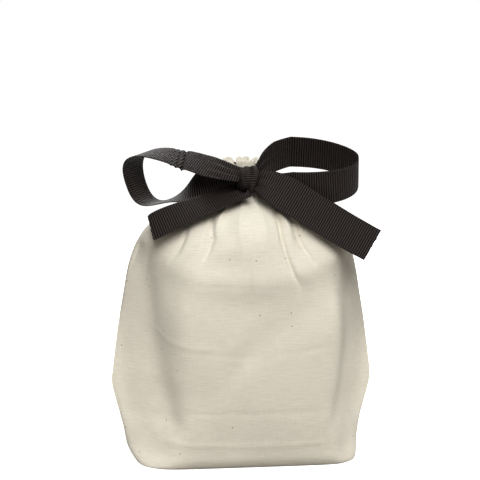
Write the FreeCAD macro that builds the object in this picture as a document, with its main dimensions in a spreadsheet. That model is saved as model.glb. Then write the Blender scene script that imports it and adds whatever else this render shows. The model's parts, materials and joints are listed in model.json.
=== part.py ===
"""A boxed cotton gift sack whose drawstring ribbon is tied in a bow.

The cloth body is a front panel and a back panel that share one section formula, so
they meet along the side seams and under the base.  Above the shoulder the cloth is
gathered into a pleated casing, and the ribbon in that casing comes out in front as a
knot with two loops and two tails.  +Z is up, the front faces -Y, and the origin is
the middle of the base's underside.  Millimetres and degrees.
"""

import FreeCAD, Part
import os
import re
from math import cos, hypot, pi, radians, sin

from FreeCAD import Placement, Rotation, Vector

os.makedirs("parts", exist_ok=True)
doc = FreeCAD.newDocument("gift_sack")

# ---------------------------------------------------------------- driving sizes
SIZES = {
    # The cloth body, level by level: height, half-width at the side seam, half-depth,
    # how square the front is, and how round the seam is (1 is a sharp fold, 2 an ellipse).
    "base_half_width": 65.0, "base_half_depth": 43.0, "base_square": 4.0, "base_seam": 4.0,
    "foot_height": 14.0, "foot_half_width": 70.0, "foot_half_depth": 46.0,
    "foot_square": 4.2, "foot_seam": 2.2,
    "fold_height": 43.0, "fold_half_width": 76.2, "fold_half_depth": 47.5,
    "fold_square": 4.2, "fold_seam": 1.12,
    "body_height": 88.0, "body_half_width": 70.5, "body_half_depth": 47.0,
    "body_square": 3.0, "body_seam": 1.35,
    "chest_height": 116.0, "chest_half_width": 65.0, "chest_half_depth": 43.5,
    "chest_square": 2.5, "chest_seam": 1.6,
    # The gathered levels hang from the neck: each is a drop below it.
    "shoulder_drop": 16.5, "shoulder_half_width": 55.5, "shoulder_half_depth": 36.5,
    "brow_drop": 7.0, "brow_half_width": 41.0, "brow_half_depth": 27.0,
    "collar_drop": 2.5, "collar_half_width": 25.0, "collar_half_depth": 18.5,
    "gathered_square": 2.0,
    "cloth_thickness": 0.9, "seam_allowance": 8.0, "seam_clearance": 0.3,
    "side_seam_foot": 16.0,
    # The gathers, and the casing that the ribbon runs in.
    "neck_height": 149.5, "neck_radius": 12.0, "tied_radius": 9.6, "frill_radius": 10.4,
    "pleat_depth": 1.2, "frill_pleat_depth": 1.5, "shoulder_pleat_depth": 1.0,
    "pleats_per_panel": 5.0,
    "mouth_radius": 5.0, "tunnel_radius": 6.2, "tunnel_gap": 1.3, "hem_thickness": 1.0,
    # The ribbon, and how it is gathered where it leaves the knot.
    "ribbon_width": 22.0, "ribbon_thickness": 0.7, "ribbon_clearance": 0.3,
    "root_share": 0.55, "root_run": 16.0, "root_flare": 0.8, "root_gap": 0.4,
    "lead_width": 2.4, "lead_height": 9.0, "lead_spread": 3.0,
    # The knot, a wrapped ball in front of the casing.
    "knot_radius": 8.0, "knot_across": 2.1, "knot_forward": 20.0,
    "wrap_width": 11.0, "wrap_bore": 4.6, "wrap_groove": 0.5, "wrap_turns": 3.0,
}

# The free stretches of ribbon.  Each leaves the knot at a root, given by the direction
# (turn, lift) from the knot's centre, and its middle line is a pair of Bezier pulls.
# A place is out, back and up from the knot's centre.  Turn 0 points to +X and 90 to the
# back, and lift tips it up.  A lean is the direction of the ribbon's width.
SIZES.update({
    "left_loop_front_root_turn": 192.0, "left_loop_front_root_lift": 18.5,
    "left_loop_front_turn": 166.0, "left_loop_front_lift": 15.5, "left_loop_front_pull": 34.0,
    "left_loop_tip_out": -62.5, "left_loop_tip_back": 28.0, "left_loop_tip_up": -5.0,
    "left_loop_tip_turn": 160.5, "left_loop_tip_lift": -109.5,
    "left_loop_tip_front_pull": 34.0, "left_loop_tip_back_pull": 26.5,
    "left_loop_back_root_turn": 143.5, "left_loop_back_root_lift": -15.0,
    "left_loop_back_turn": 164.5, "left_loop_back_lift": 1.0, "left_loop_back_pull": 34.0,
    "left_loop_front_lean_turn": 123.5, "left_loop_front_lean_lift": 31.0,
    "left_loop_tip_lean_turn": 50.0, "left_loop_tip_lean_lift": -12.0,
    "left_loop_back_lean_turn": -22.0, "left_loop_back_lean_lift": 43.5,

    "right_loop_front_root_turn": -3.0, "right_loop_front_root_lift": -25.5,
    "right_loop_front_turn": -34.5, "right_loop_front_lift": -18.0,
    "right_loop_front_pull": 13.0,
    "right_loop_tip_out": 62.0, "right_loop_tip_back": 0.5, "right_loop_tip_up": 4.5,
    "right_loop_tip_turn": 93.0, "right_loop_tip_lift": 34.0,
    "right_loop_tip_front_pull": 18.5, "right_loop_tip_back_pull": 11.0,
    "right_loop_back_root_turn": 51.0, "right_loop_back_root_lift": 26.5,
    "right_loop_back_turn": 60.0, "right_loop_back_lift": 31.0, "right_loop_back_pull": 34.0,
    "right_loop_front_lean_turn": -109.5, "right_loop_front_lean_lift": 74.5,
    "right_loop_tip_lean_turn": -101.0, "right_loop_tip_lean_lift": 54.5,
    "right_loop_back_lean_turn": -104.0, "right_loop_back_lean_lift": 56.0,

    "left_tail_root_turn": 209.0, "left_tail_root_lift": -56.5,
    "left_tail_leave_turn": 194.0, "left_tail_leave_lift": -13.5, "left_tail_leave_pull": 20.5,
    "left_tail_end_out": -57.5, "left_tail_end_back": -4.5, "left_tail_end_up": -26.5,
    "left_tail_end_turn": 157.0, "left_tail_end_lift": -38.5, "left_tail_end_pull": 8.0,
    "left_tail_root_lean_turn": 78.5, "left_tail_root_lean_lift": 18.5,
    "left_tail_end_lean_turn": 72.5, "left_tail_end_lean_lift": 44.5,

    "right_tail_root_turn": -60.5, "right_tail_root_lift": -4.0,
    "right_tail_leave_turn": -55.5, "right_tail_leave_lift": -1.5,
    "right_tail_leave_pull": 15.0,
    "right_tail_end_out": 65.5, "right_tail_end_back": -25.5, "right_tail_end_up": -35.5,
    "right_tail_end_turn": -19.0, "right_tail_end_lift": -26.5, "right_tail_end_pull": 34.0,
    "right_tail_root_lean_turn": 76.0, "right_tail_root_lean_lift": 63.0,
    "right_tail_end_lean_turn": 41.0, "right_tail_end_lean_lift": 43.5,
})

sheet = doc.addObject("Spreadsheet::Sheet", "sizes")
for row, (name, number) in enumerate(SIZES.items(), start=1):
    sheet.set("A%d" % row, name)
    sheet.set("B%d" % row, "%g" % number)
    sheet.setAlias("B%d" % row, name)
doc.recompute()


def size(name):
    """A driving size, read from the sheet."""
    return float(getattr(sheet, name))


# What follows from the driving sizes, kept in the sheet as well.
CASING_HEIGHT = "ribbon_width + 2 * ribbon_clearance + 2 * hem_thickness"
DERIVED = {
    "casing_height": CASING_HEIGHT,
    "knot_height": "neck_height + (%s) / 2" % CASING_HEIGHT,
}
for row, (name, formula) in enumerate(DERIVED.items(), start=len(SIZES) + 1):
    sheet.set("A%d" % row, name)
    sheet.set("B%d" % row, "=" + formula)
    sheet.setAlias("B%d" % row, name)
doc.recompute()

CLOTH = size("cloth_thickness")
POINTS_PER_PLEAT = 4               # fineness of the forms: none of these is a size
FINE_STEPS = 360
LEVELS_PER_SPAN = 2
STEPS_PER_TURN = 3
STATIONS_PER_LEG = 16


# ---------------------------------------------------------------- the cloth sections
def half_outline(half_width, half_depth, square, seam, pleat):
    """Points of the front half of a section, evenly spaced from the right seam to the left."""
    fine = []
    for step in range(FINE_STEPS + 1):
        angle = pi * step / FINE_STEPS
        across = abs(cos(angle)) ** (2 / square) * (1 if angle < pi / 2 else -1)
        fine.append((half_width * across, -half_depth * sin(angle) ** (2 / seam)))
    run = [0.0]
    for (x0, y0), (x1, y1) in zip(fine, fine[1:]):
        run.append(run[-1] + hypot(x1 - x0, y1 - y0))
    pleats = int(size("pleats_per_panel"))
    count = pleats * POINTS_PER_PLEAT
    points, k = [], 0
    for i in range(count + 1):
        share = i / count
        while k < FINE_STEPS - 1 and run[k + 1] < share * run[-1]:
            k += 1
        part = (share * run[-1] - run[k]) / (run[k + 1] - run[k])
        x = fine[k][0] + part * (fine[k + 1][0] - fine[k][0])
        y = fine[k][1] + part * (fine[k + 1][1] - fine[k][1])
        crest = pleat * cos(2 * pi * pleats * share)
        reach = hypot(x, y)
        points.append(((x / reach) * (reach + crest), (y / reach) * (reach + crest)))
    points[0] = (points[0][0], 0.0)
    points[-1] = (points[-1][0], 0.0)
    return points


def level_at(levels, height):
    """The section values at any height, eased through the named levels around it."""
    last = len(levels) - 1
    i = max(k for k in range(last) if k == 0 or levels[k][0] <= height)
    low, high = levels[i], levels[i + 1]
    before, after = levels[max(i - 1, 0)], levels[min(i + 2, last)]
    rise = high[0] - low[0]
    t = (height - low[0]) / rise
    values = [height]
    for w, x, y, z in zip(before[1:], low[1:], high[1:], after[1:]):
        leave = (y - w) / (high[0] - before[0]) * rise
        meet = (z - x) / (after[0] - low[0]) * rise
        values.append(x + (y - x) * t * t * (3 - 2 * t)
                      + leave * t * (1 - t) ** 2 - meet * t * t * (1 - t))
    return tuple(values)


def finer(levels):
    """The named levels with eased levels between them."""
    heights = []
    for low, high in zip(levels, levels[1:]):
        step = (high[0] - low[0]) / LEVELS_PER_SPAN
        heights += [low[0] + i * step for i in range(LEVELS_PER_SPAN)]
    return [level_at(levels, height) for height in heights + [levels[-1][0]]]


def drawn_in(level, inset):
    """The same level with its outline drawn in by the inset."""
    height, half_width, half_depth, *form = level
    return (height, half_width - inset, half_depth - inset, *form)


def flat_face(*corners):
    """A flat face with the given corners."""
    return Part.Face(Part.makePolygon(list(corners) + [corners[0]]))


def skinned(rings):
    """A solid through flat rings of points, skinned with flat triangles and capped.

    Twisted cloth and ribbon have no flat quads.  Each is folded along a diagonal, and a
    ring's first half, which is one face of the cloth, and its second half, which is the
    other face coming back, are folded along the same one, so the thickness holds.
    """
    faces = [flat_face(*rings[0]), flat_face(*rings[-1])]
    for low, high in zip(rings, rings[1:]):
        for i in range(len(low)):
            j = (i + 1) % len(low)
            if i < len(low) / 2:
                faces += [flat_face(low[i], low[j], high[j]),
                          flat_face(low[i], high[j], high[i])]
            else:
                faces += [flat_face(low[i], low[j], high[i]),
                          flat_face(low[j], high[j], high[i])]
    solid = Part.makeSolid(Part.makeShell(faces))
    if solid.Volume < 0:
        solid.reverse()
    return solid


def half_plate(levels, side):
    """A solid filling one half of the section, side 1 for the front and -1 for the back."""
    return skinned([[Vector(x, side * y, height) for x, y in half_outline(*form)]
                    for height, *form in levels])


def half_wall(outer_levels, inner_levels, side):
    """A wall between an outer and an inner outline, ending square on the seam plane."""
    rings = []
    for (height, *outer), (_, *inner) in zip(outer_levels, inner_levels):
        outline = half_outline(*outer) + half_outline(*inner)[::-1]
        rings.append([Vector(x, side * y, height) for x, y in outline])
    return skinned(rings)


def body_levels():
    """The sack's named levels from the base to the neck."""
    levels = [(0.0, size("base_half_width"), size("base_half_depth"),
               size("base_square"), size("base_seam"), 0.0)]
    for name in ("foot", "fold", "body", "chest"):
        levels.append((size(name + "_height"), size(name + "_half_width"),
                       size(name + "_half_depth"), size(name + "_square"),
                       size(name + "_seam"), 0.0))
    full = size("shoulder_pleat_depth")
    for name, pleat in (("shoulder", full / 2), ("brow", full), ("collar", full)):
        levels.append((size("neck_height") - size(name + "_drop"),
                       size(name + "_half_width"), size(name + "_half_depth"),
                       size("gathered_square"), size("gathered_square"), pleat))
    levels.append(neck_level())
    return levels


def neck_level():
    """The section where the panels end and the casing begins."""
    radius, square = size("neck_radius"), size("gathered_square")
    return (size("neck_height"), radius, radius, square, square, size("pleat_depth"))


def casing_levels():
    """The casing: in to the tied waist at the knot, then out to the frill."""
    square = size("gathered_square")
    top = size("neck_height") + size("casing_height")
    tied, frill = size("tied_radius"), size("frill_radius")
    return [neck_level(),
            (size("knot_height"), tied, tied, square, square, size("pleat_depth")),
            (top, frill, frill, square, square, size("frill_pleat_depth"))]


# ---------------------------------------------------------------- document helpers
def shape_feature(name, shape):
    """A feature that holds a lofted shape."""
    feature = doc.addObject("Part::Feature", name)
    feature.Shape = shape
    return feature


def bind(feature, prop, formula):
    """Bind a property to a formula written in the sheet's own names."""
    feature.setExpression(prop, re.sub(r"[a-z]\w+", r"sizes.\g<0>", formula))


def box(name, low, sizes):
    """A box with its low corner and its sizes bound to the sheet."""
    feature = doc.addObject("Part::Box", name)
    for prop, formula in zip(("Length", "Width", "Height"), sizes):
        bind(feature, prop, formula)
    for axis, formula in zip("xyz", low):
        bind(feature, "Placement.Base." + axis, formula)
    return feature


def tube_form(name, radius, low, height):
    """A cylinder about the neck's axis, bound to the sheet."""
    feature = doc.addObject("Part::Cylinder", name)
    bind(feature, "Radius", radius)
    bind(feature, "Height", height)
    bind(feature, "Placement.Base.z", low)
    return feature


def combine(kind, name, *parts):
    """A boolean of two or more features."""
    feature = doc.addObject("Part::" + kind, name)
    if kind in ("MultiFuse", "MultiCommon"):
        feature.Shapes = list(parts)
    else:
        feature.Base, feature.Tool = parts
    return feature


PARTS = []


def sub_part(feature, label):
    """Name a finished sub-part."""
    feature.Label = label
    PARTS.append(feature)
    return feature


SIDES = (("front", 1), ("back", -1))


# ---------------------------------------------------------------- cloth body
def build_panels():
    """Front and back panels: each a wall with its half of the base under it."""
    named = body_levels()
    floor_top = level_at(named, CLOTH)
    walls = [floor_top] + finer(named)[1:]
    for name, side in SIDES:
        inside = [drawn_in(level, CLOTH) for level in walls]
        wall = shape_feature(name + "_wall", half_wall(walls, inside, side))
        base = shape_feature(name + "_base", half_plate([named[0], floor_top], side))
        sub_part(combine("MultiFuse", name + "_cloth", wall, base), name + "_panel")


def side_seam(label, side):
    """The seam allowance inside a side seam, clear of the inside of the fold."""
    allowance, clear = size("seam_allowance"), size("seam_clearance")
    named = body_levels()
    foot, top = size("side_seam_foot"), size("neck_height") - size("brow_drop")
    levels = [level_at(named, foot)]
    levels += [level for level in finer(named) if foot < level[0] <= top]
    rings = []
    for height, *form in [drawn_in(level, CLOTH) for level in levels]:
        (x0, _), (x1, y1) = half_outline(*form)[:2]
        outer = x0 + (x1 - x0) * CLOTH / -y1 - clear
        xs = (side * outer, side * (outer - allowance))
        rings.append([Vector(x, y, height) for x, y in (
            (xs[0], -CLOTH), (xs[0], CLOTH), (xs[1], CLOTH), (xs[1], -CLOTH))])
    sub_part(shape_feature(label + "_strip", skinned(rings)), label)


def build_seams():
    """The allowances of the side seams, the base seam and the two boxed corners."""
    side_seam("left_side_seam", -1)
    side_seam("right_side_seam", 1)
    inside = "base_half_width - cloth_thickness - seam_clearance"
    thick = "2 * cloth_thickness"
    corner_low = "(%s) - 2 * seam_allowance" % inside
    sub_part(box("base_seam_strip",
                 ("-(%s) + seam_clearance" % corner_low, "-seam_allowance", "cloth_thickness"),
                 ("2 * ((%s) - seam_clearance)" % corner_low, "seam_allowance", thick)),
             "bottom_seam")
    half_run = "base_half_depth - cloth_thickness - 2 * seam_allowance"
    for label, low in (("left_corner_seam", "-(%s) - seam_allowance" % corner_low),
                       ("right_corner_seam", corner_low)):
        sub_part(box(label + "_strip", (low, "-(%s)" % half_run, "cloth_thickness"),
                     ("seam_allowance", "2 * (%s)" % half_run, thick)), label)


# ---------------------------------------------------------------- casing and drawstring
def build_casing():
    """The folded hem tunnel: a pleated tube with a mouth, a tunnel and a front opening."""
    levels = finer(casing_levels())
    mouth, round_form = size("mouth_radius"), size("gathered_square")
    inside = [(level[0], mouth, mouth, round_form, round_form, 0.0) for level in levels]
    tunnel_low = "neck_height + hem_thickness"
    tunnel_height = "casing_height - 2 * hem_thickness"
    tunnel = combine("Cut", "tunnel",
                     tube_form("tunnel_outside", "tunnel_radius + tunnel_gap",
                               tunnel_low, tunnel_height),
                     tube_form("tunnel_inside", "tunnel_radius", tunnel_low, tunnel_height))
    slot_half = "(lead_spread / 2 + lead_width + ribbon_clearance)"
    slot = combine("Cut", "front_opening",
                   box("front_slot",
                       ("knot_across - " + slot_half, "-knot_forward",
                        "knot_height - lead_height / 2 - ribbon_clearance"),
                       ("2 * " + slot_half, "knot_forward",
                        "lead_height + 2 * ribbon_clearance")),
                   tube_form("slot_end", "tunnel_radius", tunnel_low, tunnel_height))
    hollow = combine("MultiFuse", "casing_hollows", tunnel, slot)
    for name, side in SIDES:
        wall = shape_feature(name + "_hem", half_wall(levels, inside, side))
        sub_part(combine("Cut", name + "_tunnel", wall, hollow), name + "_casing")


def build_drawstring():
    """The ribbon round the tunnel, with its two leads out to the knot."""
    low = "neck_height + hem_thickness + ribbon_clearance"
    inner = "tunnel_radius + ribbon_clearance"
    outside = tube_form("drawstring_outside", inner + " + ribbon_thickness", low, "ribbon_width")
    inside = tube_form("drawstring_inside", inner, low, "ribbon_width")
    leads = []
    for name, side in (("left_lead", "-1"), ("right_lead", "1")):
        middle = "knot_across + %s * (lead_spread + lead_width) / 2" % side
        leads.append(box(name, (middle + " - lead_width / 2", "-knot_forward",
                                "knot_height - lead_height / 2"),
                         ("lead_width", "knot_forward", "lead_height")))
    filled = combine("MultiFuse", "drawstring_filled", outside, *leads)
    whole = combine("Cut", "drawstring_ring", filled, inside)
    sub_part(combine("Cut", "drawstring_band", whole, knot_room("drawstring")), "drawstring")


# ---------------------------------------------------------------- knot
def place_at_knot(feature):
    """Bind a feature's place to the knot's centre."""
    bind(feature, "Placement.Base.x", "knot_across")
    bind(feature, "Placement.Base.y", "-knot_forward")
    bind(feature, "Placement.Base.z", "knot_height")


def knot_room(name):
    """The ball round the knot that the ribbon leaving it is trimmed to."""
    ball = doc.addObject("Part::Sphere", name + "_knot_room")
    bind(ball, "Radius", "knot_radius + root_gap")
    place_at_knot(ball)
    return ball


def knot_barrel(name, radius):
    """A cylinder about the knot's left-right axis, as long as the wrap is wide."""
    feature = doc.addObject("Part::Cylinder", name)
    feature.Placement = Placement(Vector(), Rotation(Vector(0, 1, 0), 90))
    bind(feature, "Radius", radius)
    bind(feature, "Height", "wrap_width")
    place_at_knot(feature)
    bind(feature, "Placement.Base.x", "knot_across - wrap_width / 2")
    return feature


def build_knot():
    """The knot: crossed ribbon inside a ridged wrap that runs up and over it."""
    radius, half, bore = size("knot_radius"), size("wrap_width") / 2, size("wrap_bore")
    turns, groove = int(size("wrap_turns")), size("wrap_groove")
    ridge = []
    for i in range(turns * STEPS_PER_TURN + 1):
        along = -half + 2 * half * i / (turns * STEPS_PER_TURN)
        dip = groove * (1 - abs(sin(pi * i / STEPS_PER_TURN)))
        ridge.append(Vector(along, (radius ** 2 - along ** 2) ** 0.5 - dip, 0))
    corners = ridge + [Vector(half, bore, 0), Vector(-half, bore, 0)]
    profile = Part.Face(Part.makePolygon(corners + corners[:1]))
    wrap = shape_feature("knot_wrap_form", profile.revolve(Vector(), Vector(1, 0, 0), 360))
    place_at_knot(wrap)
    sub_part(wrap, "knot_wrap")
    ball = doc.addObject("Part::Sphere", "knot_ball")
    bind(ball, "Radius", "knot_radius - wrap_groove")
    place_at_knot(ball)
    room = combine("Cut", "wrap_room", knot_barrel("wrap_outside", "2 * knot_radius"),
                   knot_barrel("wrap_inside", "wrap_bore"))
    sub_part(combine("Cut", "knot_core_form", ball, room), "knot_core")


# ---------------------------------------------------------------- the free ribbon
def heading(turn, lift):
    """A unit direction from its turn and its lift."""
    turn, lift = radians(turn), radians(lift)
    return Vector(cos(turn) * cos(lift), sin(turn) * cos(lift), sin(lift))


class Stretch:
    """The named values of one free stretch of ribbon."""

    def __init__(self, name):
        self.name = name
        self.knot = Vector(size("knot_across"), -size("knot_forward"), size("knot_height"))

    def value(self, word):
        return size(self.name + "_" + word)

    def way(self, word):
        return heading(self.value(word + "_turn"), self.value(word + "_lift"))

    def root(self, word):
        return self.knot + self.way(word) * size("knot_radius")

    def place(self, word):
        return self.knot + Vector(self.value(word + "_out"), self.value(word + "_back"),
                                  self.value(word + "_up"))


def bezier(ends, share):
    """The point and the heading of a cubic Bezier given by its four poles."""
    a, b, c, d = ends
    rest = 1 - share
    point = a * rest ** 3 + b * 3 * rest ** 2 * share + c * 3 * rest * share ** 2 + d * share ** 3
    along = (b - a) * rest ** 2 + (c - b) * 2 * rest * share + (d - c) * share ** 2
    return point, along.normalize()


def blend(first, second, share):
    """A direction between two, easing out of each."""
    eased = share * (1 + share * (3 - 2 * share)) / 2
    return first * (1 - eased) + second * eased


def strip(label, legs, leans, both_ends_gathered):
    """Loft a ribbon along Bezier legs; leans are the width directions at the legs' ends."""
    stations = []
    for leg, (ends, first, second) in enumerate(zip(legs, leans, leans[1:])):
        for i in range(0 if leg == 0 else 1, STATIONS_PER_LEG + 1):
            point, along = bezier(ends, i / STATIONS_PER_LEG)
            lean = blend(first, second, i / STATIONS_PER_LEG)
            lean = (lean - along * lean.dot(along)).normalize()
            stations.append((point, along, lean))
    run = [0.0]
    for (a, _, _), (b, _, _) in zip(stations, stations[1:]):
        run.append(run[-1] + a.distanceToPoint(b))
    print("%s: %.1f mm of ribbon" % (label, run[-1]))
    thick = size("ribbon_thickness") / 2
    rings = []
    for (point, along, lean), far in zip(stations, run):
        near = min(far, run[-1] - far) if both_ends_gathered else far
        opened = min(near / size("root_run"), 1.0) ** size("root_flare")
        half = size("ribbon_width") / 2 * (size("root_share") * (1 - opened) + opened)
        face = along.cross(lean)
        rings.append([point + lean * half * s + face * thick * t
                      for s, t in ((-1, -1), (1, -1), (1, 1), (-1, 1))])
    whole = shape_feature(label + "_strip", skinned(rings))
    sub_part(combine("Cut", label + "_trimmed", whole, knot_room(label)), label)


def build_loop(label):
    """A loop: out of the knot in front, round the tip and back in behind."""
    loop = Stretch(label)
    front, back, tip = loop.root("front_root"), loop.root("back_root"), loop.place("tip")
    round_tip = loop.way("tip")
    legs = [(front, front + loop.way("front") * loop.value("front_pull"),
             tip - round_tip * loop.value("tip_front_pull"), tip),
            (tip, tip + round_tip * loop.value("tip_back_pull"),
             back + loop.way("back") * loop.value("back_pull"), back)]
    leans = [loop.way("front_lean"), loop.way("tip_lean"), loop.way("back_lean")]
    strip(label, legs, leans, True)


def build_tail(label):
    """A tail: out of the knot to its straight cut end."""
    tail = Stretch(label)
    root, end = tail.root("root"), tail.place("end")
    legs = [(root, root + tail.way("leave") * tail.value("leave_pull"),
             end - tail.way("end") * tail.value("end_pull"), end)]
    strip(label, legs, [tail.way("root_lean"), tail.way("end_lean")], False)


# ---------------------------------------------------------------- build and export
build_panels()
build_seams()
build_casing()
build_drawstring()
build_knot()
for name in ("left_loop", "right_loop"):
    build_loop(name)
for name in ("left_tail", "right_tail"):
    build_tail(name)
doc.recompute()

for feature in doc.Objects:
    if {"Invalid", "Error"} & set(feature.State):
        raise RuntimeError("%s did not build: %s" % (feature.Name, feature.State))
for feature in PARTS:
    if feature.Shape.isNull() or not feature.Shape.isValid():
        raise RuntimeError("%s has no sound shape" % feature.Label)
for feature in PARTS:
    feature.Shape.exportStep("parts/%s.step" % feature.Label)
    print("%-18s %10.1f mm3" % (feature.Label, feature.Shape.Volume))
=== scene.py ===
# %% [markdown]
# # A cotton gift sack, tied with grosgrain ribbon
# The real sack is two panels of plain cotton muslin, sewn down the sides and under the
# base, with boxed corners that let it stand.  The top is hemmed into a casing, and one
# black ribbon runs through the casing and is tied in front in a bow.
# The imported model gives the knot's centre, the heights of the neck and the hem, and the
# places of what is hidden inside.  So it is loaded first.

# %% Load the imported model
import json
from math import cos, pi, radians, sin

import bmesh
import bpy
import numpy as np
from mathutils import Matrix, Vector, noise


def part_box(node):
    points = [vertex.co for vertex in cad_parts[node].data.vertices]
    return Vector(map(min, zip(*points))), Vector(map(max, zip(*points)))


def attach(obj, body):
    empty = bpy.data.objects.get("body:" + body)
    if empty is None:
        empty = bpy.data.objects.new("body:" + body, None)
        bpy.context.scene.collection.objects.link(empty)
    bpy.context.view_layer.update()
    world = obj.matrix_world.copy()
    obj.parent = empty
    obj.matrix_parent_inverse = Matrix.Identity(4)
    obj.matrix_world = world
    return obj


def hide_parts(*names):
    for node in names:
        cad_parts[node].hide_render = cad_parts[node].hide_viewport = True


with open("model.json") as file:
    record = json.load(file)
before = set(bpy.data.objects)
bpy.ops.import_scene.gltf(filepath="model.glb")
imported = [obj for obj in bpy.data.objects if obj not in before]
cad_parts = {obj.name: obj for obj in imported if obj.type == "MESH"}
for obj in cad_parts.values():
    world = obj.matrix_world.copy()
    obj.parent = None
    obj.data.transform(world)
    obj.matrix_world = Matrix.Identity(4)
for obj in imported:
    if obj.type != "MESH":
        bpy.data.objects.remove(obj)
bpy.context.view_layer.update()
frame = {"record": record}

# %% [markdown]
# ## Working in millimetres
# Blender counts in metres, but cloth is cut in millimetres, so the shapes are worked out
# in millimetres and turned into metres when the vertices are placed.  The knot's centre
# is the point that every loop and tail turns about, and the record gives it.

# %% Sizes from the record
MM = 0.001
joints = frame["record"]["behaviour"]["joints"]
knot_centre = np.array(joints[0]["pos_m"]) / MM
neck_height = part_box("front_panel")[1].z / MM
casing_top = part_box("front_casing")[1].z / MM
print("knot centre", knot_centre.round(1), "neck", round(neck_height, 1), "top", round(casing_top, 1))


# %% Helpers for soft shapes
def ease(share):
    """0 to 1 with a soft start and a soft stop, for one number or many."""
    share = np.clip(share, 0.0, 1.0)
    return share * share * (3 - 2 * share)


def between(places, ends, past, fades):
    """0 outside two ends, 1 inside: it starts a way past each end and rises over its fade."""
    return ease((places - ends[0] + past[0]) / fades[0]) * ease((ends[1] + past[1] - places) / fades[1])


def ripple(place, seed, size):
    """Smooth noise from -1 to 1 whose bumps are about this many millimetres across."""
    return noise.noise(Vector(place) / size + Vector((seed * 7.3, seed * 3.1, seed * 5.7)))


def run_along(points):
    """How far each point of a line is from its start, along the line."""
    steps = np.hypot.reduce(np.diff(points, axis=0), axis=1)
    return np.concatenate([[0], np.cumsum(steps)])


print("half way", ease(0.5), "and the run of a 3-4-5 corner", run_along(np.array([(0, 0), (3, 4)])))

# %% [markdown]
# ## From a flat grid to a shaped sheet
# A woven sheet is a grid of threads.  It could be draped by a cloth simulation, but then
# each fold falls where it likes.  Here the folds have known places, so a piece of cloth
# starts as a flat bmesh grid, and a formula moves every vertex to its place on the form.
# The UV map keeps where each vertex was on the flat cloth, in metres, so that weave and
# ribs follow the cloth.

# %% Helpers that make a sheet
# Vertices closer than this become one, and where a ring closes it may be wider.
MERGE, RING_MERGE = 0.002, 0.01


def add_piece(name, bm):
    """Turn a bmesh into a smooth piece of the scene."""
    for face in bm.faces:
        face.smooth = True
    mesh = bpy.data.meshes.new(name)
    bm.to_mesh(mesh)
    bm.free()
    piece = bpy.data.objects.new(name, mesh)
    bpy.context.collection.objects.link(piece)
    return piece


def cloth_sheet(name, places, flat, ring=False):
    """A grid with one vertex for each place; places and flat are rows by columns."""
    rows, columns = places.shape[:2]
    bm = bmesh.new()
    bmesh.ops.create_grid(bm, x_segments=columns - 1, y_segments=rows - 1, size=0.5)
    uv = bm.loops.layers.uv.new("UVMap")
    spot = {}
    for vertex in bm.verts:
        column = round((vertex.co.x + 0.5) * (columns - 1))
        row = round((vertex.co.y + 0.5) * (rows - 1))
        spot[vertex.index] = (row, column)
        vertex.co = Vector(places[row, column]) * MM
    for face in bm.faces:
        for loop in face.loops:
            loop[uv].uv = flat[spot[loop.vert.index]] * MM
    bmesh.ops.remove_doubles(bm, verts=bm.verts, dist=MERGE * MM)
    if ring:
        bmesh.ops.remove_doubles(bm, verts=bm.verts, dist=RING_MERGE * MM)
        bmesh.ops.recalc_face_normals(bm, faces=bm.faces)
    return add_piece(name, bm)


def thicken(piece, thickness, offset):
    """Give a sheet its thickness with the Solidify modifier, which is handed back."""
    wall = piece.modifiers.new("thickness", "SOLIDIFY")
    wall.thickness, wall.offset = thickness * MM, offset
    wall.use_quality_normals = True
    return wall


print("vertices closer than", MERGE, "mm become one")

# %% [markdown]
# ## The sack's form
# A filled sack is round at the shoulder and boxy below, and it is widest where the side
# seams fold out.  Low down, the cloth was packed flat: each panel runs straight to a bend
# near each side and falls away from there to a thin ear along the seam.  A loft through
# drawn outlines could make this, but named levels are easier to change.  Between the
# levels the values ease, as the cloth does.

# %% Levels of the body
# Each level: height, half-width at the seam, half-depth, how square and, at the seam, how
# blunt the round form is; then how much of the pressed form is mixed in, how thin its ear
# is, and its bends on the left and the right, as shares of the half-width.
ROUND = (2.0, 2.0, 0.0, 1.0, 0.5, 0.5)
LEVELS = np.array([
    (0.0, 66.0, 44.0, 8.0, 4.6, 0.15, 1.2, 0.80, 0.80),
    (8.0, 68.2, 45.0, 5.4, 2.3, 0.65, 1.5, 0.70, 0.74),
    (24.0, 72.0, 46.8, 4.2, 1.6, 0.95, 1.9, 0.60, 0.68),
    (35.0, 74.9, 47.2, 4.2, 1.3, 1.0, 1.95, 0.55, 0.64),
    (43.0, 76.5, 47.3, 4.2, 1.12, 1.0, 1.9, 0.53, 0.64),
    (52.0, 75.8, 47.3, 4.2, 1.15, 1.0, 1.7, 0.54, 0.66),
    (88.0, 70.9, 46.8, 3.0, 1.35, 1.0, 1.2, 0.58, 0.71),
    (116.0, 65.0, 43.5, 2.5, 1.6, 0.4, 1.0, 0.5, 0.65),
    (neck_height - 16.5, 55.5, 36.5, *ROUND),
    (neck_height - 7.0, 41.0, 27.0, *ROUND),
    (neck_height - 2.5, 25.0, 18.5, *ROUND),
    (neck_height, 12.0, 12.0, *ROUND),
])
CASING = np.array([
    (neck_height, 12.0, 12.0, *ROUND),
    (knot_centre[2], 9.6, 9.6, *ROUND),
    (casing_top, 10.4, 10.4, *ROUND),
])


def level_at(levels, height):
    """The values at a height, eased through the named levels on both sides of it."""
    i = int(np.clip(np.searchsorted(levels[:, 0], height, "right") - 1, 0, len(levels) - 2))
    low, high = levels[i], levels[i + 1]
    before, after = levels[max(i - 1, 0)], levels[min(i + 2, len(levels) - 1)]
    rise = high[0] - low[0]
    t = (height - low[0]) / rise
    leave = (high - before) / (high[0] - before[0]) * rise
    meet = (after - low) / (after[0] - low[0]) * rise
    return (low + (high - low) * t * t * (3 - 2 * t)
            + leave * t * (1 - t) ** 2 - meet * t * t * (1 - t))[1:]


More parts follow.
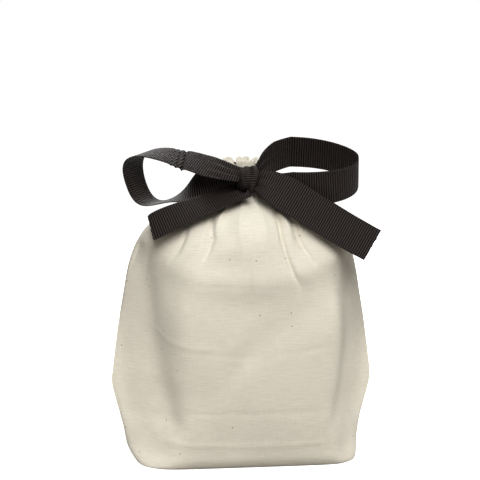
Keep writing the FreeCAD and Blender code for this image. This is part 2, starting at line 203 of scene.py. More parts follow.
print("the foot is", 2 * LEVELS[0, 1], "mm wide, the widest level", 2 * LEVELS[:, 1].max())

# %% Half a section
# How softly the pressed form bends on the left and on the right.  The allowance inside
# the seam pads the ear, so each panel stands this far out, reached over this distance.
STATIONS = 721
BEND_SOFTNESS = (0.11, 0.06)
PADDING, PADDING_REACH = 0.9, 1.1
GIRTH_HEIGHT = 60.0


def half_section(form, shares):
    """Points of a half section at shares of its length from seam to seam, and that length."""
    half_width, half_depth, square, blunt, pressed, ear, bend_left, bend_right = form
    angle = np.linspace(0, pi, STATIONS)
    u = np.sign(np.cos(angle)) * np.abs(np.cos(angle)) ** (2 / square)
    round_front = np.sin(angle).clip(0) ** (2 / blunt)
    bend, soft = np.where(u < 0, bend_left, bend_right), np.where(u < 0, *BEND_SOFTNESS)
    ramp = np.abs(u) - bend + np.hypot(np.abs(u) - bend, soft)
    full = 1 - bend + np.hypot(1 - bend, soft)
    flat_front = (1 - ramp / full).clip(0) ** ear
    x = half_width * u
    y = half_depth * (round_front * (1 - pressed) + flat_front * pressed)
    y += PADDING * (1 - np.exp(-half_width * (1 - np.abs(u)) / PADDING_REACH))
    run = run_along(np.stack([x, y], 1))
    at = shares * run[-1]
    return np.stack([np.interp(at, run, x), np.interp(at, run, y)], 1), run[-1]


FLAT_WIDTH = half_section(level_at(LEVELS, GIRTH_HEIGHT), np.array([0.0]))[1]
print("panel's flat width", round(FLAT_WIDTH, 1))

# %% [markdown]
# ## Folds in the cloth
# Gathered cloth falls from the neck in pleats that fade out over the shoulder, and each
# pleat fades at its own height.  A few folds on the front are deeper than the rest, what
# the sack holds swells it out in places, and the cloth keeps the creases it was packed
# and pressed with.  They could be sculpted by hand, but each is a line over the panel
# here, so that it can be moved: its points are places across and up, in millimetres.

# %% Named folds on the front
# A fold runs down the panel: its groove has a depth and a half-width, and on one side of
# the groove the cloth stands proud, most of all at its reach.
FRONT_FOLDS = [
    dict(line=[(-17.5, 151), (-20.9, 138), (-21.4, 130), (-24.0, 124), (-28.0, 117)],
         groove=1.6, width=1.5, proud=1.9, reach=7.0, side=1),
    dict(line=[(-25.0, 150), (-34.0, 138), (-37.0, 130), (-40.5, 123), (-45.0, 116)],
         groove=1.3, width=1.5, proud=1.1, reach=5.0, side=1),
    dict(line=[(10.0, 151), (14.4, 140), (16.2, 130), (19.2, 119), (22.2, 111), (26.0, 104)],
         groove=1.8, width=1.2, proud=1.5, reach=3.5, side=1),
    dict(line=[(16.0, 149), (21.0, 140), (24.3, 132), (28.0, 125), (34.0, 116)],
         groove=1.5, width=1.4, proud=1.0, reach=4.0, side=1),
    dict(line=[(30.0, 145), (37.0, 137), (43.0, 128), (48.0, 119)],
         groove=0.6, width=2.0, proud=0.6, reach=5.0, side=1),
    dict(line=[(-41.0, 143), (-52.0, 130), (-57.0, 120), (-60.0, 110)],
         groove=0.9, width=2.4, proud=0.5, reach=6.0, side=-1),
]
print(len(FRONT_FOLDS), "folds, the deepest", max(fold["groove"] for fold in FRONT_FOLDS), "mm")

# %% Swells, creases and the flat edge
# A swell is soft and broad: a positive rise stands out and a negative one sinks in.  Like
# a fold, it fades out at the foot of its line, some over a distance of their own.
FRONT_SWELLS = [
    dict(line=[(-64.0, 124), (-59.0, 103), (-57.0, 80), (-53.5, 57), (-49.5, 40), (-45.0, 18)],
         rise=-2.6, width=6.5),
    dict(line=[(2.0, 150), (2.0, 145), (3.0, 138), (3.0, 94)], rise=8.5, width=18.0, fade=58),
    dict(line=[(20.0, 150), (34.0, 140), (44.0, 130), (50.0, 100)], rise=9.0, width=15.0, fade=42),
    dict(line=[(58.0, 114), (57.0, 90), (57.5, 70), (56.0, 56), (53.0, 40), (48.0, 18)],
         rise=-1.4, width=5.0),
]
# A pressed crease runs across the panel, from left to right.
PRESS_LINES = [
    dict(line=[(-58.0, 79.5), (-53.6, 77.3), (-45.8, 72.0), (-33.0, 69.6), (-20.0, 69.2)],
         rise=0.35, width=0.9),
    dict(line=[(-30.0, 66.5), (-7.7, 64.2), (9.3, 64.8), (26.4, 67.0), (49.0, 70.0)],
         rise=-0.16, width=1.3),
    dict(line=[(-40.0, 105.0), (-13.0, 104.0), (22.0, 102.0)], rise=-0.13, width=1.0),
    dict(line=[(-43.0, 32.1), (43.0, 31.7)], rise=-0.2, width=1.2),
    dict(line=[(-52.0, 14.8), (-2.0, 13.0), (26.6, 13.2), (44.0, 14.6)], rise=0.32, width=1.0),
    dict(line=[(-18.0, 50.0), (3.0, 72.0), (20.0, 84.0), (46.0, 93.0)], rise=-1.1, width=11.0),
]
# The soft edge where the shoulder turns into the flat front bows up toward the sides.
FLAT_EDGE = dict(height=106, bow=0.006, middle=-4, rise=1.7, width=9, end=58, fade=16)
FOLD_FADE = 14
print(len(FRONT_SWELLS), "swells and hollows,", len(PRESS_LINES), "creases")


# %% From named lines to a relief
def down_the_line(fold, heights):
    """Where a fold that runs down the panel is at each height, and how strong it is."""
    across, up = np.array(fold["line"]).T
    strength = between(heights, (up[-1], up[0]), past=(4, 6), fades=(fold.get("fade", FOLD_FADE), 8))
    return np.interp(heights, up[::-1], across[::-1]), strength


def across_the_line(line, across):
    """The height of a crease that runs across the panel, and how strong it is."""
    x, z = np.array(line["line"]).T
    return np.interp(across, x, z), between(across, (x[0], x[-1]), past=(3, 3), fades=(10, 10))


def front_relief(x, z):
    """How far the front stands out of its plain form, for arrays of places on it."""
    out = np.zeros_like(x)
    for fold in FRONT_FOLDS:
        place, strength = down_the_line(fold, z)
        off = (x - place) * fold["side"]
        beyond = off.clip(0) / fold["reach"]
        lip = fold["proud"] * beyond * np.exp(1 - beyond)
        out += strength * (lip - fold["groove"] * np.exp(-(off / fold["width"]) ** 2))
    for swell in FRONT_SWELLS:
        place, strength = down_the_line(swell, z)
        out += strength * swell["rise"] * np.exp(-((x - place) / swell["width"]) ** 2)
    for line in PRESS_LINES:
        place, strength = across_the_line(line, x)
        out += strength * line["rise"] * np.exp(-((z - place) / line["width"]) ** 2)
    edge_height = FLAT_EDGE["height"] + FLAT_EDGE["bow"] * (x - FLAT_EDGE["middle"]) ** 2
    edge = FLAT_EDGE["rise"] * np.exp(-((z - edge_height) / FLAT_EDGE["width"]) ** 2)
    return out + edge * ease((FLAT_EDGE["end"] - np.abs(x)) / FLAT_EDGE["fade"])


heights = np.array([20.0, 70.0, 120.0])
print("the middle of the front stands out", front_relief(np.zeros(3), heights).round(1), "mm")

# %% [markdown]
# ## The gathers and the frill
# Drawn tight, the neck gathers each panel into about eleven pleats.  Over the ribbon the
# hem opens again into a soft frill, and its edge dips between lobes.  Smooth noise gives
# each pleat its own depth and length, because even pleats would look like a machine part.

# %% Pleats and dips
COLUMNS = 221
PLEATS = 11.0
# A pleat dies out some way above this height, and is full this far above its end.
PLEAT_END, PLEAT_FADE = 116, 26
# How deep the gathers are at these heights, and where the hem opens into the frill.
GATHER_HEIGHTS = [110, neck_height - 8, neck_height, knot_centre[2], casing_top - 4, casing_top]
GATHER_DEPTHS = [0.0, 2.2, 1.8, 1.3, 2.3, 2.9]
FRILL_START = knot_centre[2] + 2
# The frill flares out and settles lower, and where it dips it leans back in.
FRILL_FLARE, FRILL_DROP, DIP_LEAN = 1.6, 1.9, 1.1
# Dips of the frill on the front (1) and the back (-1): the place across, depth and width.
FRILL = {
    1: [(-6.3, 3.4, 1.5), (7.0, 1.7, 0.9), (-13.0, 2.4, 1.6), (11.5, 1.5, 1.5), (1.2, 0.6, 0.8)],
    -1: [(-3.2, 2.9, 1.4), (6.7, 2.0, 1.1), (-11.5, 2.4, 1.6), (11.0, 1.5, 1.5), (1.6, 0.5, 0.8)],
}


def pleats(shares, heights, side):
    """The gathers: each pleat has its own depth and fades out at its own height."""
    depth = np.zeros((len(heights), len(shares)))
    for i, z in enumerate(heights):
        softened = 1 - 0.85 * ease((z - FRILL_START) / 6)
        for j, share in enumerate(shares):
            wander = 0.016 * noise.noise(Vector((share * 9, z / 26, side * 4.0)))
            phase = (share + wander) * PLEATS
            own = 0.62 + 0.5 * noise.noise(Vector((round(phase) * 3.7, side * 8.1, 0)))
            end = PLEAT_END + 18 * (0.5 + noise.noise(Vector((round(phase) * 5.9, side * 2.3, 4))))
            wave = 1 - 2 * abs(sin(pi * phase)) ** 0.8
            depth[i, j] = wave * own * softened * ease((z - end) / PLEAT_FADE)
    return depth


def frill_dips(x, z, side):
    """How far the hem's top edge dips between its soft lobes, at places across it."""
    dips = sum(depth * np.exp(-((x - place) / width) ** 2) for place, depth, width in FRILL[side])
    crumple = np.array([0.35 * ripple((across, z * 0.7, 0), side, 3.2) for across in x])
    return dips + crumple


print(round(PLEATS), "pleats in each panel; the frill starts at", round(FRILL_START, 1), "mm")

# %% [markdown]
# ## The two panels
# Each panel is one sheet: from the base seam out to the foot, up the wall, in under the
# gathers, up through the casing, over the hem's top edge and a little way down inside.
# Both panels come from the same function, so they meet along the side seams.  At the
# foot the wall curls in, and at the seams the stitches pinch the cloth.

# %% Rows of a panel
# The hem's edge rolls over with this radius and comes down this far inside.
HEM_ROLL, HEM_INSIDE = 0.9, 1.9


def path_rows():
    """The rows of a panel: which levels, the height, the share of the depth, the inset."""
    rows = [("base", 0.0, share, 0.0) for share in np.linspace(0, 0.985, 12)]
    for which, low, high, count in (("body", 0.5, 100, 76), ("body", 101.2, neck_height - 0.3, 44),
                                    ("casing", neck_height + 0.5, casing_top - HEM_ROLL, 22)):
        rows += [(which, z, 1.0, 0.0) for z in np.linspace(low, high, count)]
    rows += [("casing", casing_top - HEM_ROLL + HEM_ROLL * sin(a), 1.0, HEM_ROLL - HEM_ROLL * cos(a))
             for a in np.linspace(0.4, pi - 0.4, 6)]
    rows += [("casing", casing_top - drop, 1.0, HEM_INSIDE) for drop in (2.0, 4.0, 6.0)]
    return rows


print(len(path_rows()), "rows of", COLUMNS, "vertices in each panel")

# %% A panel as one sheet
CLOTH_THICKNESS = 0.5
# At the foot the wall curls in this far, from this height down.
FOOT_CURL, FOOT_HEIGHT = 2.4, 6.5
# Stitches pinch the edge this deep over a share of the width, and folds calm over more.
PINCH, PINCH_SHARE, CALM_SHARE = 0.5, 0.012, 0.03
# The share of its width that the base has at its middle seam, and gains from there out.
BASE_AT_SEAM, BASE_GAIN = 0.985, 0.015
# Each panel keeps this far from the plane of the side seams.
SEAM_GAP = 0.06
# Broad waves and fine puckers of the loose cloth: how high and how long.
WAVE, WAVE_SIZE = 0.55, 30
PUCKER, PUCKER_SIZE = 0.16, 9


def outward(outline):
    """Unit directions out of a half section, one at each of its points."""
    along = np.gradient(outline, axis=0)
    out = np.stack([along[:, 1], -along[:, 0]], 1)
    out /= np.hypot(*out.T)[:, None].clip(1e-9)
    return -out if out[len(out) // 2, 1] < 0 else out


def wall_relief(x, y, z, side, gather):
    """How far a row of the wall stands out of its plain section, and how far it rises."""
    ruffle = ease((z - FRILL_START) / 7)
    dips = frill_dips(x, z, side) * ruffle
    relief = np.interp(z, GATHER_HEIGHTS, GATHER_DEPTHS) * gather
    relief += (FRILL_FLARE - DIP_LEAN * dips) * ruffle
    relief += [WAVE * ripple((px, -side * py, z), 1, WAVE_SIZE)
               + PUCKER * ripple((px, -side * py, z * 0.6), 2, PUCKER_SIZE)
               for px, py in zip(x, y)]
    if side == 1:
        relief += front_relief(x, np.full(COLUMNS, z))
    return relief * ease(z / 9 + 0.1), -(dips + FRILL_DROP) * ruffle


def panel(name, side):
    """The front (side 1) or back (side -1) panel, gathered, folded and hemmed."""
    rows = path_rows()
    shares = np.linspace(0, 1, COLUMNS)
    from_seam = np.minimum(shares, 1 - shares)
    gather = pleats(shares, np.array([row[1] for row in rows]), side)
    places = np.zeros((len(rows), COLUMNS, 3))
    for i, (which, z, depth_share, inset) in enumerate(rows):
        outline, _ = half_section(level_at(CASING if which == "casing" else LEVELS, z), shares)
        relief, rise = 0.0, 0.0
        if which != "base":
            relief, rise = wall_relief(*outline.T, z, side, gather[i])
        pinch = PINCH * ease(z / 8) * (1 - ease(from_seam / PINCH_SHARE))
        curl = FOOT_CURL * (1 - np.clip(z / FOOT_HEIGHT, 0, 1)) ** 2
        relief = relief * ease(from_seam / CALM_SHARE) - pinch - curl
        moved = outline + outward(outline) * (relief - inset)[:, None]
        moved *= (BASE_AT_SEAM + BASE_GAIN * depth_share, depth_share)
        moved[0, 1] = moved[-1, 1] = 0.0
        places[i, :, :2] = moved
        places[i, :, 2] = z + rise
    places[:, :, 1] = -side * (places[:, :, 1] + SEAM_GAP)
    # The middle of the panel gives how far up the flat cloth each row is.
    run = run_along(places[:, COLUMNS // 2])
    flat = np.stack(np.meshgrid((shares - 0.5) * FLAT_WIDTH, run), 2)
    if side == 1:
        places, flat = places[:, ::-1], flat[:, ::-1]
    piece = cloth_sheet(name, places, flat)
    thicken(piece, CLOTH_THICKNESS, -1.0)
    print(name, "runs", round(run[-1], 1), "mm from the base seam to the hem's edge inside")
    return piece, run[-1]


sack_front, front_run = panel("sack_front", 1)
sack_back, back_run = panel("sack_back", -1)

# %% [markdown]
# ## Ribbon
# Grosgrain is a flat ribbon with ribs across it, firm enough to keep a curve.  A curve
# object with a flat bevel could make it, but it wouldn't gather at the knot.  So each
# free stretch is a grid along a middle line, made of one or two Bezier legs, with a lean,
# which is the direction of the ribbon's width.  Near the knot the same width of ribbon
# is gathered into folds, so there it is narrower and wavy, and its end goes on a little
# way into the knot, where nobody sees it.

# %% Directions, legs and middle lines
RIBBON_WIDTH, RIB_PITCH, ROWS_PER_RIB = 22.0, 1.35, 8
# A stretch leaves the knot this far from its centre; each leg has this many fine steps.
ROOT_DISTANCE, STEPS = 8.0, 200


def heading(turn, lift):
    """A direction: turn 0 is to the right, 90 to the back, and lift tips it up."""
    turn, lift = radians(turn), radians(lift)
    return np.array([cos(turn) * cos(lift), sin(turn) * cos(lift), sin(lift)])


def root(turn, lift):
    """The place where a stretch leaves the knot."""
    return knot_centre + heading(turn, lift) * ROOT_DISTANCE


def bezier(poles, share):
    """A point of a cubic Bezier and its heading."""
    a, b, c, d = poles
    rest = 1 - share
    point = a * rest ** 3 + b * 3 * rest ** 2 * share + c * 3 * rest * share ** 2 + d * share ** 3
    along = (b - a) * rest ** 2 + (c - b) * 2 * rest * share + (d - c) * share ** 2
    return point, along / np.linalg.norm(along)


def middle_line(legs, leans):
    """Fine stations along the legs: the place, heading and lean at each."""
    points, alongs, widths = [], [], []
    for leg, (poles, first, second) in enumerate(zip(legs, leans, leans[1:])):
        for step in range(0 if leg == 0 else 1, STEPS + 1):
            share = step / STEPS
            point, along = bezier(poles, share)
            eased = share * (1 + share * (3 - 2 * share)) / 2
            lean = first * (1 - eased) + second * eased
            lean = lean - along * lean.dot(along)
            points.append(point)
            alongs.append(along)
            widths.append(lean / np.linalg.norm(lean))
    return np.array(points), np.array(alongs), np.array(widths)


print("a stretch starts", ROOT_DISTANCE, "mm from the knot's centre, such as at", root(180, 0).round(1))

# %% Ribs
# A rib is as thick as the ribbon, and the valley beside it has this share of that.  The
# woven edge has no ribs.
RIB_THICKNESS, VALLEY_SHARE = 0.62, 0.3
EDGE_WIDTH, EDGE_WEIGHT = 0.7, 0.45


def add_ribs(piece):
    """Thicken a ribbon so that it is thick along each rib and thin between ribs."""
    group = piece.vertex_groups.new(name="ribs")
    uv = piece.data.uv_layers["UVMap"].uv
    for loop in piece.data.loops:
        across, along = uv[loop.index].vector / MM
        woven_edge = abs(across) > RIBBON_WIDTH / 2 - EDGE_WIDTH
        weight = EDGE_WEIGHT if woven_edge else 0.5 - 0.5 * cos(2 * pi * along / RIB_PITCH)
        group.add([loop.vertex_index], weight, "REPLACE")
    wall = thicken(piece, RIB_THICKNESS, 0.0)
    wall.vertex_group, wall.thickness_vertex_group = "ribs", VALLEY_SHARE


print("ribs", RIB_PITCH, "mm apart, so", round(10 / RIB_PITCH, 1), "to the centimetre")

# %% One stretch of ribbon
# At the knot a stretch is gathered to a share of its width, and it opens over this run.
ROOT_SHARE, ROOT_RUN = 0.55, 19.0
# Its hidden end is this share of the way out from the knot's centre to where it leaves.
HIDDEN_SHARE = 0.8
RIBBON_COLUMNS = 25


def stations(legs, leans, loop):
    """Even stations, hidden ends and all: the run, then place, heading and width at each."""
    points, alongs, widths = middle_line(legs, leans)
    ends = (0, -1) if loop else (0,)
    hidden = [knot_centre + (points[end] - knot_centre) * HIDDEN_SHARE for end in ends]
    points = np.vstack([hidden[0], points] + hidden[1:])
    alongs, widths = (np.vstack([rows[0], rows] + [rows[-1]] * loop) for rows in (alongs, widths))
    run = run_along(points)
    at = np.linspace(0, run[-1], int(run[-1] / RIB_PITCH * ROWS_PER_RIB))
    return at, *(np.stack([np.interp(at, run, rows[:, k]) for k in range(3)], 1)
                 for rows in (points, alongs, widths))


def ribbon(name, legs, leans, loop, creases=(), gathers=1.0, root_share=ROOT_SHARE):
    """One free stretch; a crease has a place, a height, a width and a slant."""
    at, centre, along, width = stations(legs, leans, loop)
    face = np.cross(along, width)
    face /= np.linalg.norm(face, axis=1)[:, None]
    near = np.minimum(at, at[-1] - at) if loop else at
    opened = np.minimum(near / ROOT_RUN, 1.0) ** 0.8
    half = RIBBON_WIDTH / 2
    shown_half = half * (root_share * (1 - opened) + opened)
    shares = np.linspace(-1, 1, RIBBON_COLUMNS)
    places = np.zeros((len(at), RIBBON_COLUMNS, 3))
    for j, share in enumerate(shares):
        lift = gathers * (1 - opened) * np.cos(3 * pi * share + 0.6)
        for where, height, spread, slant in creases:
            off = at - (where + slant * share * half)
            lift = lift + height * np.exp(-np.abs(off) / spread)
        lift = lift + 0.12 * np.array([ripple((a, share * half, 0), len(name), 14) for a in at])
        places[:, j] = centre + width * (shown_half * share)[:, None] + face * lift[:, None]
        if not loop:
            places[-1, j] += along[-1] * 0.5 * ripple((share * half, 0, 0), len(name), 1.3)
    piece = cloth_sheet(name, places, np.stack(np.meshgrid(shares * half, at), 2))
    add_ribs(piece)
    print(name, round(at[-1], 1), "mm of ribbon,", len(at), "rows")
    return piece, at[-1]


# %% Legs of a loop and of a tail
def from_knot(out, back, up):
    """A place given from the knot's centre."""
    return knot_centre + np.array([out, back, up])


def loop_legs(front_root, front, front_pull, tip, tip_way, pulls, back_root, back, back_pull):
    """A loop's two legs: out of the knot in front to the tip, and back in behind."""
    first, last, way = root(*front_root), root(*back_root), heading(*tip_way)
    return [(first, first + heading(*front) * front_pull, tip - way * pulls[0], tip),
            (tip, tip + way * pulls[1], last + heading(*back) * back_pull, last)]


def tail_legs(tail_root, out, out_pull, tip, tip_way, tip_pull):
    """A tail's one leg: out of the knot to its cut end."""
    first = root(*tail_root)
    return [(first, first + heading(*out) * out_pull, tip - heading(*tip_way) * tip_pull, tip)]


print("the left loop's tip is at", from_knot(-62.5, 28.0, -5.0).round(1))

# %% The four free stretches
left_loop, left_loop_run = ribbon(
    "ribbon_left_loop",
    loop_legs((192.0, 18.5), (166.0, 15.5), 34.0, from_knot(-62.5, 28.0, -5.0),
              (160.5, -109.5), (34.0, 26.5), (143.5, -15.0), (164.5, 1.0), 34.0),
    [heading(123.5, 31.0), heading(50.0, -12.0), heading(-22.0, 43.5)], True,
    creases=[(34.5, 1.7, 0.9, 0.3), (38.0, 1.2, 0.9, 0.3), (41.0, 0.7, 0.8, 0.3)])
right_loop, right_loop_run = ribbon(
    "ribbon_right_loop",
    loop_legs((-3.0, -25.5), (-34.5, -18.0), 13.0, from_knot(62.0, 0.5, 4.5),
              (93.0, 34.0), (18.5, 11.0), (51.0, 26.5), (60.0, 31.0), 34.0),
    [heading(-109.5, 74.5), heading(-101.0, 54.5), heading(-104.0, 56.0)], True,
    creases=[(107.5, 1.6, 7.0, 0.0)])
left_tail, left_tail_run = ribbon(
    "ribbon_left_tail",
    tail_legs((209.0, -56.5), (194.0, -13.5), 20.5, from_knot(-57.5, -4.5, -26.5), (157.0, -38.5), 8.0),
    [heading(78.5, 18.5), heading(72.5, 44.5)], False, root_share=0.8)
right_tail, right_tail_run = ribbon(
    "ribbon_right_tail",
    tail_legs((-60.5, -4.0), (-55.5, -1.5), 15.0, from_knot(65.5, -25.5, -35.5), (-19.0, -26.5), 34.0),
    [heading(76.0, 63.0), heading(41.0, 43.5)], False, gathers=0.35)

# %% [markdown]
# ## The knot
# The knot is the same ribbon, pulled tight: one pass wraps over the crossing of the
# loops and tails, gathered to two thirds of its width.  A torus could stand in for it, but
# it has no folds.  So the wrap is a grid rolled into a ring about the left-right axis,
# with a rounded ridge for each fold, rims that turn in, and slanting ribs.  Inside it a
# rounder core hides the ends of the stretches.

# %% Wrap
# Ridges of the wrap: where each is across it, how high and how wide.
WRAP_RIDGES = [(-6.6, 0.9, 2.3), (-2.6, 1.3, 2.2), (1.4, 1.7, 2.3), (4.6, 1.0, 1.6)]
# Half its width, how far it sits off the knot's centre, and its radius.
WRAP_HALF, WRAP_SHIFT, WRAP_RADIUS = 7.0, -1.2, 6.1
# Its rims turn in this far, from this share of the half-width on.
RIM_DROP, RIM_START = 3.4, 0.62
# The ribbon's own run for one radian round the wrap, and the height of its ribs there.
RUN_PER_RADIAN, WRAP_RIB = 8.2, 0.13
TURN_STEPS, WRAP_COLUMNS = 360, 41


def wrap_radius(across, share, angle):
    """How far the wrap is from its axis, at a place across it and an angle round it."""
    sway = 0.7 * sin(angle) + 0.3 * sin(2 * angle + 1)
    ridge = max(rise * max(0.0, 1 - ((across - place - sway) / width) ** 2) ** 0.5
                for place, rise, width in WRAP_RIDGES)
    rim = -RIM_DROP * ease((abs(share) - RIM_START) / (1 - RIM_START))
    slant = 2.6 * sin(across / 2.4) + 0.35 * across
    ribs = WRAP_RIB * sin(2 * pi * angle * RUN_PER_RADIAN / RIB_PITCH + slant)
    return WRAP_RADIUS + ridge + rim + 0.25 * noise.noise(Vector((across / 3, angle, 2))) + ribs


def knot_wrap():
    """The pass of ribbon that wraps the crossing, from the front up over the top."""
    shares = np.linspace(-1, 1, WRAP_COLUMNS)
    angles = np.linspace(0, 2 * pi, TURN_STEPS + 1)
    places = np.zeros((len(angles), WRAP_COLUMNS, 3))
    for i, angle in enumerate(angles):
        for j, share in enumerate(shares):
            across = WRAP_HALF * share + WRAP_SHIFT
            radius = wrap_radius(across, share, angle)
            places[i, j] = from_knot(across, -radius * cos(angle), radius * sin(angle))
    flat = np.stack(np.meshgrid(shares * RIBBON_WIDTH / 2, angles * RUN_PER_RADIAN), 2)
    return cloth_sheet("knot_wrap_ribbon", places, flat, ring=True)


wrap = knot_wrap()
print("the wrap is", 2 * WRAP_HALF, "mm wide, with", len(WRAP_RIDGES), "ridges")

# %% Core
# Its radius, how much wider it gets toward its sides, and how deep its folds are.
CORE_RADIUS, CORE_FLARE, CORE_FOLD = 5.6, 1.5, 0.45


def knot_core():
    """The gathered crossing inside the wrap: wider at its sides, and creased all round."""
    bm = bmesh.new()
    bmesh.ops.create_icosphere(bm, subdivisions=5, radius=1.0)
    for vertex in bm.verts:
        way = vertex.co.normalized()
        flare = CORE_FLARE * ease((abs(way.x) - 0.5) / 0.35)
        folds = CORE_FOLD * abs(sin(2.5 * np.arctan2(way.z, -way.y) + 3 * way.x))
        reach = CORE_RADIUS + flare + folds + 0.3 * noise.noise(way * 2.2)
        vertex.co = (Vector(knot_centre) + way * reach) * MM
    return add_piece("knot_core_ribbon", bm)


core = knot_core()
print("the core has", len(core.data.vertices), "vertices")

# %% [markdown]
# ## The ribbon inside the casing
# Round the neck the ribbon lies flat inside the hem, and it comes out in front as two
# leads that go into the knot.  A plain cylinder could fill the tunnel, but the real
# ribbon is crumpled there, so it is one more grid: an open ring of ribbon that stands on
# its edge, with crumples that die out toward the leads.

# %% Drawstring
# The ring's radius, half the height that it fills, and how far it crumples.
RING_RADIUS, RING_HALF, CRUMPLE = 6.9, 7.4, 1.5
# The leads are narrower; each is this far from the knot's middle, at the knot and outside
# the neck, and they pass the neck's front here.
LEAD_HALF, LEAD_SPREAD, LEAD_FRONT = 4.2, (2.2, 2.6), -9.5
RING_COLUMNS = 13


def drawstring_path():
    """The ribbon's route seen from above: a lead, once round the neck, and a lead."""
    knot_x, knot_y = knot_centre[:2]
    inner, outer = LEAD_SPREAD
    lead_end = knot_y + 6.5
    route = [(knot_x + inner, lead_end), (knot_x + outer, LEAD_FRONT)]
    route += [(RING_RADIUS * cos(a), RING_RADIUS * sin(a))
              for a in np.linspace(radians(-50), radians(235), 90)]
    return np.array(route + [(knot_x - outer, LEAD_FRONT), (knot_x - inner, lead_end)])


def drawstring_ring():
    """The ribbon round the tunnel and its two leads into the knot."""
    low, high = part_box("drawstring")
    middle_z = (low.z + high.z) / 2 / MM
    route = drawstring_path()
    run = run_along(route)
    at = np.linspace(0, run[-1], int(run[-1] / RIB_PITCH * ROWS_PER_RIB))
    x, y = (np.interp(at, run, route[:, k]) for k in range(2))
    out = np.stack([np.gradient(y), -np.gradient(x)], 1)
    out /= np.hypot(*out.T)[:, None]
    opened = ease((np.minimum(at, run[-1] - at) - 4) / 6)
    half = LEAD_HALF + (RING_HALF - LEAD_HALF) * opened
    shares = np.linspace(-1, 1, RING_COLUMNS)
    places = np.zeros((len(at), RING_COLUMNS, 3))
    for j, share in enumerate(shares):
        crumple = CRUMPLE * (0.35 + 0.3 * np.sin(at / 2.1)) * np.cos(5 * pi * share) * opened
        places[:, j] = np.stack([x + out[:, 0] * crumple, y + out[:, 1] * crumple,
                                 middle_z + share * half], 1)
    flat = np.stack(np.meshgrid(shares * RIBBON_WIDTH / 2, at), 2)
    piece = cloth_sheet("drawstring_ribbon", places, flat)
    add_ribs(piece)
    return piece, run[-1]


drawstring, drawstring_run = drawstring_ring()
print("the drawstring runs", round(drawstring_run, 1), "mm")

# %% [markdown]
# ## Seam allowances
# Inside the sack the cut edges of the panels stand together as narrow strips, down the
# sides, along the base and across the boxed corners.  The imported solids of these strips
# are plain, so here they are grids with a slight wave, in about the same places.

# %% Allowance strips
DOUBLED_CLOTH = 0.8
# Down the sides a strip starts this far inside the seam, and it is this wide.
STRIP_INSET, STRIP_WIDTH = 2.6, 6.6
# It stops this short of its solid's ends; on the base a strip keeps this far inside its
# solid's edges, and lies at this height.
END_GAP, EDGE_GAP, LYING_HEIGHT = 1.0, 0.5, 1.5


def allowance(name, node, upright):
    """A strip of doubled cloth in the place of a seam's allowance."""
    low, high = (np.array(corner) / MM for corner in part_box(node))
    rows, columns = (60, 5) if upright else (5, 40)
    side = np.sign(low[0] + high[0])
    places = np.zeros((rows, columns, 3))
    for i, down in enumerate(np.linspace(0, 1, rows)):
        for j, over in enumerate(np.linspace(0, 1, columns)):
            if upright:
                z = low[2] + END_GAP + (high[2] - low[2] - 2 * END_GAP) * down
                reach = level_at(LEVELS, z)[0] - STRIP_INSET - STRIP_WIDTH * over
                places[i, j] = (side * reach, 0.25 * ripple((z, over * 7, 0), 5, 15), z)
            else:
                x = low[0] + EDGE_GAP + (high[0] - low[0] - 2 * EDGE_GAP) * over
                y = low[1] + EDGE_GAP + (high[1] - low[1] - 2 * EDGE_GAP) * down
                places[i, j] = (x, y, LYING_HEIGHT + 0.2 * ripple((x, y, 0), 6, 15))
    flat = places[:, :, [0, 2]] if upright else places[:, :, :2]
    piece = cloth_sheet(name, places, flat)
    thicken(piece, DOUBLED_CLOTH, 0.0)
    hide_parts(node)
    return piece


allowances = [allowance("left_side_allowance", "left_side_seam", True),
              allowance("right_side_allowance", "right_side_seam", True),
              allowance("base_allowance", "bottom_seam", False),
              allowance("left_corner_allowance", "left_corner_seam", False),
              allowance("right_corner_allowance", "right_corner_seam", False)]
print(len(allowances), "strips,", DOUBLED_CLOTH, "mm thick")

# %% [markdown]
# ## Materials
# Muslin is unbleached cotton in a plain weave: warm white, matt, with thicker threads
# here and there and a few specks of seed.  Grosgrain is black with a brown cast and a
# dull sheen.  Image textures could be wrapped round the pieces, but they blur close up,
# so both are drawn with nodes.  They read the UV map, so that they follow the cloth.

# %% Node helpers
def new_material(name, color, roughness):
    """A material with its main shader, and the shader itself."""
    made = bpy.data.materials.new(name)
    made.use_nodes = True
    shader = made.node_tree.nodes["Principled BSDF"]
    shader.inputs["Base Color"].default_value = (*color, 1)
    shader.inputs["Roughness"].default_value = roughness
    return made, shader


def node(made, kind, links=(), **settings):
    """Add a node with its settings; links join other nodes' outputs to its sockets."""
    added = made.node_tree.nodes.new("ShaderNode" + kind)
    for name, value in settings.items():
        setattr(added, name, value)
    for socket, source in links:
        made.node_tree.links.new(source, added.inputs[socket])
    return added


def flat_cloth(made, scale):
    """The cloth's own coordinates, in metres, times a scale in each direction."""
    uv = node(made, "UVMap", uv_map="UVMap")
    mapping = node(made, "Mapping", [("Vector", uv.outputs["UV"])])
    mapping.inputs["Scale"].default_value = (*scale, 1)
    return mapping.outputs["Vector"]


def cloudy(made, scale, detail):
    """Noise on the flat cloth, finer where the scale is larger."""
    cloud = node(made, "TexNoise", [("Vector", flat_cloth(made, scale))])
    cloud.inputs["Scale"].default_value = 1.0
    cloud.inputs["Detail"].default_value = detail
    return cloud.outputs["Fac"]


def reckon(made, operation, first, second):
    """A Math node between an output and a number, or between two outputs."""
    added = node(made, "Math", operation=operation)
    for socket, value in enumerate((first, second)):
        if isinstance(value, (int, float)):
            added.inputs[socket].default_value = value
        else:
            made.node_tree.links.new(value, added.inputs[socket])
    return added.outputs[0]


